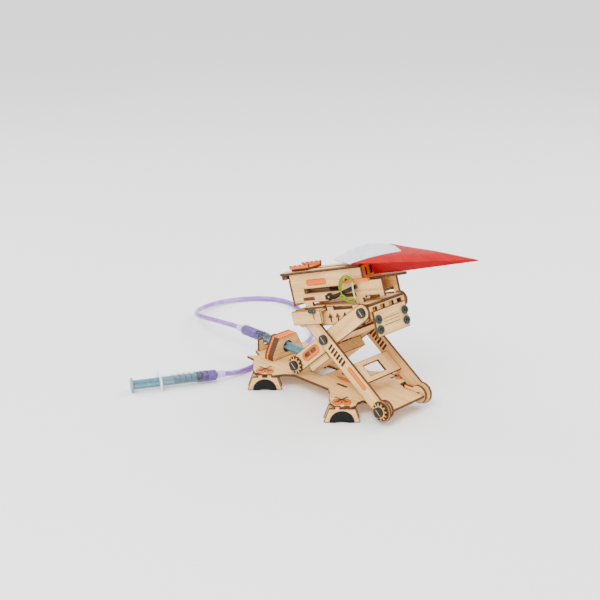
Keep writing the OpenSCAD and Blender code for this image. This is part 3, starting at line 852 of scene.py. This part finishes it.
def add_plane():
    red = paper("red_paper", (0.33, 0.0, 0.002), (0.43, 0.0, 0.004))
    white = paper("white_paper", (0.58, 0.60, 0.64), (0.76, 0.77, 0.80))
    first = add_sheet_of_paper("plane_keel_left", keel_side(1), 40, 8, 0.35, red)
    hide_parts("paper_plane")
    add_sheet_of_paper("plane_keel_right", keel_side(-1), 40, 8, 0.35, red)
    for side, edge in (("left", FAR_EDGE), ("right", NEAR_EDGE)):
        add_sheet_of_paper(f"plane_wing_{side}", wing_point(edge, 0), 40, 10, 0.35, red)
        add_sheet_of_paper(f"plane_lining_{side}", part_of(wing_point(edge, 0.4), 0, 0.4),
                           24, 10, 0.3, white)
        add_sheet_of_paper(f"plane_fold_{side}", part_of(wing_point(edge, 0.75), 0.4, 1),
                           24, 10, 0.35, red)


# ---- rubber bands and rings ----

def add_band(name, route, y, radius, material):
    line = spline([(u, y, w) for u, w in route], closed=True)
    points, faces = sweep(line, radius, 12, closed=True)
    return add_piece(name, points, faces, material, "platform", PLATFORM)


def add_elastics():
    green = soft_rubber("green_elastic", (0.11, 0.16, 0.006), (0.22, 0.28, 0.015))
    pale = soft_rubber("pale_elastic", (0.45, 0.55, 0.25), (0.60, 0.68, 0.36))
    loop = [(-36, 25.5), (-35, 30), (-32.2, 34.6), (-27.4, 37.6), (-22.3, 38.2), (-17.6, 36.4),
            (-15.4, 32.4), (-16.8, 31.8), (-19.4, 34.6), (-23.2, 36), (-27.6, 34.8), (-31, 31.6),
            (-33.2, 27.8), (-34.2, 25.2)]
    band = add_band("elastic_loop", loop, -19.9, 1.0, green)
    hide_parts("elastic_band")
    strand = spline([(-15.8, -19.4, 32), (-16.8, -19.6, 24), (-16.9, -19.6, 19), (-16.6, -19.4, 12.4)])
    points, faces = sweep(strand, 0.8, 10)
    add_piece("elastic_strand", points, faces, pale, "platform", PLATFORM)
    behind = spline([(-35.2, -19.4, 25.8), (-35.6, -19, 22), (-35.2, -19, 18.6), (-35, -19.4, 16)])
    points, faces = sweep(behind, 0.9, 10)
    add_piece("elastic_strand_rear", points, faces, green, "platform", PLATFORM)
    knot = [(-36.4, 16.6), (-33.4, 14.4), (-30, 12.7), (-25, 11), (-20.6, 10.2), (-16.8, 11.4),
            (-18.6, 13.1), (-23.6, 13.3), (-28.4, 15.2), (-33.2, 18.4)]
    add_band("elastic_knot", knot, -20.6, 1.0, green)


def add_cover_ring():
    """Rubber ring tied over the near slide cover, with its short tail."""
    grey = soft_rubber("ring_rubber", (0.014, 0.020, 0.017), (0.050, 0.064, 0.055))
    paint_node("board_rings", grey)
    for name, u, w, r in (("cover_ring_front", -67.5, 7.2, 1.9), ("cover_ring_rear", -63.2, 7, 2.1)):
        route = [(u + 1.5 * r * math.cos(math.radians(a)), w + 0.8 * r * math.sin(math.radians(a)))
                 for a in range(0, 360, 30)]
        add_band(name, route, -38.9, 0.9, grey)
    tail = spline([(-65, -38.9, 7), (-64.6, -39, 4), (-64.2, -39, 0.5), (-64, -39, -2)])
    points, faces = sweep(tail, 0.45, 8)
    add_piece("cover_ring_tail", points, faces, grey, "platform", PLATFORM)


# ---- printed and burnt marks, painted shade and painted highlights, as thin raised skins ----

SKIN = 0.08


def stadium(x0, x1, middle, r, steps=12):
    """Outline of a slot with round ends from x0 to x1."""
    right = [(x1 - r + r * math.sin(math.radians(a)), middle - r * math.cos(math.radians(a)))
             for a in (180 * k / steps for k in range(steps + 1))]
    left = [(x0 + r - r * math.sin(math.radians(a)), middle + r * math.cos(math.radians(a)))
            for a in (180 * k / steps for k in range(steps + 1))]
    return right + left


def ellipse(x, y, rx, ry, steps=28):
    return [(x + rx * math.cos(2 * math.pi * k / steps), y + ry * math.sin(2 * math.pi * k / steps))
            for k in range(steps)]


def bar(x0, y0, x1, y1, width):
    """Outline of a straight stroke."""
    along = Vector((x1 - x0, y1 - y0)).normalized() * width / 2
    side = Vector((-along.y, along.x))
    return [(x0 + side.x, y0 + side.y), (x0 - side.x, y0 - side.y),
            (x1 - side.x, y1 - side.y), (x1 + side.x, y1 + side.y)]


def add_skin(name, outlines, lay, material, body):
    """Thin plates from outlines; an outline given as (outer, inner) is a ring.
    lay(a, b, h) places a point of the outline at height h above the board."""
    points, faces = [], []
    for outline in outlines:
        ring = isinstance(outline, tuple)
        loops = [outline[0], outline[1]] if ring else [outline]
        count = len(loops[0])
        base = len(points)
        for loop in loops:
            for h in (0.015, SKIN):
                points += [lay(a, b, h) for a, b in loop]
        for k in range(count):
            n = (k + 1) % count
            low, high = base, base + count
            faces.append((low + k, low + n, high + n, high + k))
            if ring:
                low_in, high_in = base + 2 * count, base + 3 * count
                faces.append((low_in + k, high_in + k, high_in + n, low_in + n))
                faces.append((high + k, high + n, high_in + n, high_in + k))
                faces.append((low + k, low_in + k, low_in + n, low + n))
        if not ring:
            faces.append(tuple(base + k for k in reversed(range(count))))
            faces.append(tuple(base + count + k for k in range(count)))
    return add_piece(name, points, faces, material, body, smooth=False)


def add_prints():
    orange_deck = wood_face("orange_along_deck", ALONG_DECK[1], ORANGE)
    orange_long = wood_face("orange_on_long", ON_LONG[1], ORANGE)
    orange_short = wood_face("orange_on_short", ON_SHORT[1], ORANGE)
    singed_and_shade = wood_face("singed_and_shade_level", LEVEL[1], SINGED_AND_SHADE)
    for side, sign in (("right", -1), ("left", 1)):
        def on_launcher(a, b, h, sign=sign):
            return PLATFORM @ Vector((a, sign * (LAUNCHER_FACE + h), b))

        def on_long(a, b, h, sign=sign):
            return LONG_ARM @ Vector((a, sign * (LONG_FACE + h), b))

        def on_short(a, b, h, sign=sign):
            return SHORT_ARM @ Vector((a, sign * (SHORT_FACE + h), b))

        add_skin(f"launcher_print_{side}", [stadium(-92.3, -61.7, 34, 2.9)], on_launcher,
                 orange_deck, "platform")
        add_skin(f"launcher_burn_{side}",
                 [(stadium(-92.8, -61.2, 34, 3.4), stadium(-92.3, -61.7, 34, 2.9))],
                 on_launcher, singed_and_shade, "platform")
        add_skin(f"long_arm_print_{side}", [stadium(28.5, 58, -1.8, 2.4)], on_long, orange_long,
                 "long_arms")
        # The ring round the print is a real burn; the disc round the pivot, showing between the gear washer's
        # teeth, is painted shade together with the singed tooth edges.
        add_skin(f"long_arm_burn_and_shade_{side}",
                 [(stadium(28, 58.5, -1.8, 2.9), stadium(28.5, 58, -1.8, 2.4)), ellipse(0, 0, 11, 11)],
                 on_long, singed_and_shade, "long_arms")
        panel = stadium(15, 44.8, 0.2, 4.6)
        web = bar(28.4, 1.2, 30.6, 1.2, 4.2)
        add_skin(f"short_arm_print_{side}", [(panel, stadium(18.6, 40.4, 1.2, 2.3)), web],
                 on_short, orange_short, "short_arms")
        # The ring round the panel is a real burn; the disc round the pivot, showing between the gear washer's
        # teeth, is painted shade together with the singed tooth edges.
        outline = (stadium(14.4, 45.4, 0.2, 5.2), panel)
        add_skin(f"short_arm_burn_and_shade_{side}", [outline, ellipse(0, 0, 8.8, 8.8)],
                 on_short, singed_and_shade, "short_arms")
    add_dark_slots(singed_and_shade)
    add_head_slots()
    add_foot_marks()
    add_board_marks()


def add_dark_slots(singed_and_shade):
    """Dark films halfway through the arms' slots and the side plates' arrows: painted shade deep in the slots,
    together with the singed brown of their walls and of the engraved arrows.
    """
    places = [LADDER_START + LADDER_STEP * i for i in range(LADDER_RUNGS)]
    rungs = [bar(x, -3.95, x, 3.95, 1.6) for x in places]
    panes = [bar(x - 4.7, PANE_RISE, x + 4.7, PANE_RISE, 4.3) for x in PANE_MIDDLES]
    arrows = []
    for u in (-50, -39, -28, -17):
        arrows.append(bar(u, -7.4, u, -3, 1.3))
        arrows.append([(u - 2.8, -2.9), (u + 2.8, -2.9), (u, 1)])
    for side, sign in (("right", -1), ("left", 1)):
        add_skin(f"long_arm_rungs_{side}", rungs,
                 lambda a, b, h, sign=sign: LONG_ARM @ Vector(
                     (a, sign * (LONG_FACE - LONG_FILM + h), b)), singed_and_shade, "long_arms")
        add_skin(f"short_arm_panes_{side}", panes,
                 lambda a, b, h, sign=sign: SHORT_ARM @ Vector(
                     (a, sign * (SHORT_FACE - SHORT_FILM + h), b)), singed_and_shade, "short_arms")
        add_skin(f"side_arrows_{side}", arrows,
                 lambda a, b, h, sign=sign: PLATFORM @ Vector((a, sign * (SIDE_FILM_Y + h), b)),
                 singed_and_shade, "platform")


def add_head_slots():
    """Pale films in the slots across the dark bolt heads: a painted highlight."""
    # Pale grey in the slot of each dark head: painted highlight.
    slot_highlight = moulded("painted_highlight_slot", (0.42, 0.40, 0.37), (0.62, 0.60, 0.56), 0.4)
    middles = {"base": LOW_PIVOT, "long_arms": CROSSING,
               "short_arms": DRAWN @ Vector(SLIDE_PIVOT), "platform": PIVOT}
    lean = math.radians(-40)
    for body, middle in middles.items():
        floor = BOLT_FACES[body] - HEAD_SLOT_DEPTH
        for side, sign in (("right", -1), ("left", 1)):
            def lay(a, b, h, middle=middle, floor=floor, sign=sign):
                return middle + Vector((a, sign * (floor + h), b)) * MM
            reach = Vector((math.cos(lean), math.sin(lean))) * 3.9
            add_skin(f"slot_floor_{body}_{side}", [bar(-reach.x, -reach.y, reach.x, reach.y, 1.4)],
                     lay, slot_highlight, body)


def add_foot_marks():
    """A rounded orange patch over each foot's tabs, with crossed burnt strokes."""
    orange = wood_face("orange_level", LEVEL[1], ORANGE)
    burnt = wood_face("burnt_level", LEVEL[1], SINGED_AND_SHADE)
    for x, row in ((24.6, "front"), (-92.2, "rear")):
        for y, side in ((-52.1, "right"), (52.1, "left")):
            sign = 1 if y < 0 else -1
            turn = math.radians(FOOT_TURN * sign)
            ahead = Vector((math.cos(turn), math.sin(turn)))
            out = Vector((-ahead.y, ahead.x)) * sign

            def lay(a, b, h, base=Vector((x, y)), ahead=ahead, out=out):
                spot = base + ahead * a + out * b
                return DRAWN @ Vector((spot.x, spot.y, DECK_TOP + h))
            add_skin(f"foot_patch_{row}_{side}", [ellipse(-4.9, 5, 4.6, 7), ellipse(4.9, 5, 4.6, 7)],
                     lay, orange, "base")
            strokes = [bar(-7, 5, 7, 18, 2.4), bar(-7, 18, 7, 5, 2.4),
                       (ellipse(-4.9, 5, 5.2, 7.6), ellipse(-4.9, 5, 4.4, 6.8)),
                       (ellipse(4.9, 5, 5.2, 7.6), ellipse(4.9, 5, 4.4, 6.8))]
            add_skin(f"foot_strokes_{row}_{side}", strokes,
                     lambda a, b, h, lay=lay: lay(a, b, h + 0.07), burnt, "base")


def add_board_marks():
    """Plain engraved lines on the name board, and a printed leaf and knot on the base."""
    burnt = wood_face("burnt_across_deck", ACROSS_DECK[1], SINGED_AND_SHADE)
    lines = [bar(-12, w, 12, w, 0.7) for w in (-11.5, -15, -18.5)]
    add_skin("name_board_lines", lines,
             lambda a, b, h: PLATFORM @ Vector((NAME_FACE + h, a, b)), burnt, "platform")
    orange = wood_face("orange_level", LEVEL[1], ORANGE)
    dark = wood_face("burnt_level", LEVEL[1], SINGED_AND_SHADE)
    leaf = ellipse(-15, -3, 12.5, 2.6)
    knot = (ellipse(-26.5, 8.5, 4.6, 3.6), ellipse(-26.5, 8.5, 2.2, 1.5))
    add_skin("base_leaf", [leaf], on_base, orange, "base")
    add_skin("base_burn", [(ellipse(-15, -3, 13.2, 3.3), leaf), knot], on_base, dark, "base")


def on_base(a, b, h):
    return DRAWN @ Vector((a, b, DECK_TOP + h))


# ---- the whole model ----

add_camera()
add_tube()
add_studio()
paint_boards()
metal = dark_metal()
for bolts in ("base_bolts", "slide_pins", "cross_bolts", "slide_shaft", "platform_bolts"):
    paint_node(bolts, metal)
paint_node("foot_pads", soft_rubber("pad_rubber", (0.002, 0.002, 0.002), (0.009, 0.009, 0.010)))
add_syringes()
add_plane()
add_elastics()
add_cover_ring()
add_prints()
